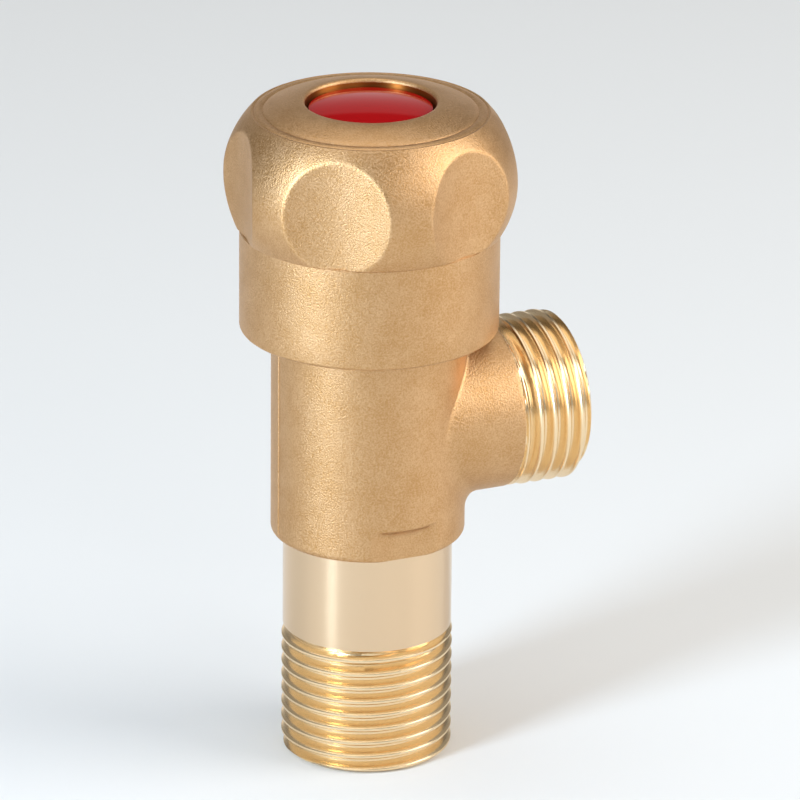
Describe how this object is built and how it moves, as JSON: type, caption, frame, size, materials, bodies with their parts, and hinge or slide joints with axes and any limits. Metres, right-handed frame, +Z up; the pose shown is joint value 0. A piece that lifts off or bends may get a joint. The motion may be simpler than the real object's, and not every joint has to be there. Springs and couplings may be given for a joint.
{
  "type": "angle stop valve",
  "caption": "Brass angle stop valve with a vertical male inlet, a side male outlet, a dimpled handwheel with a red index button and a quarter-turn ceramic headwork inside.",
  "frame": {"origin": "centre of the inlet end face, on the valve axis", "axes": "+Z up the valve axis, which the handwheel turns on, from the inlet to the handwheel; +X along the outlet"},
  "size_m": [0.0428, 0.0354, 0.0834],
  "materials": {
    "body_brass": "sandblasted forging, with the shank and threads machined bright",
    "headwork_brass": "turned, bright",
    "steel": "stainless, turned or stamped",
    "ceramic": "lapped alumina, smooth",
    "rubber": "moulded nitrile rubber, matt",
    "ptfe": "PTFE, satin",
    "acetal": "moulded acetal, satin",
    "fibre": "vulcanised fibre, matt",
    "red_plastic": "moulded, high gloss"
  },
  "bodies": {
    "fixed_body": {"valve_body": "body_brass", "headwork_bonnet": "headwork_brass", "bonnet_gasket": "fibre", "seat_seal": "rubber", "seal_support_ring": "steel", "fixed_disc": "ceramic", "noise_damper": "acetal"},
    "turning_body": {"handwheel": "body_brass", "index_button": "red_plastic", "handwheel_screw": "steel", "screw_lock_washer": "steel", "spindle": "headwork_brass", "stop_washer": "headwork_brass", "spindle_circlip": "steel", "spindle_o_ring_lower": "rubber", "spindle_o_ring_upper": "rubber", "thrust_washer": "ptfe", "moving_disc": "ceramic"}
  },
  "joints": [
    {"name": "handwheel_turn", "type": "hinge", "parent": "fixed_body", "child": "turning_body", "pos_m": [0, 0, 0], "axis": [0, 0, 1], "range_deg": [0, 90]}
  ]
}
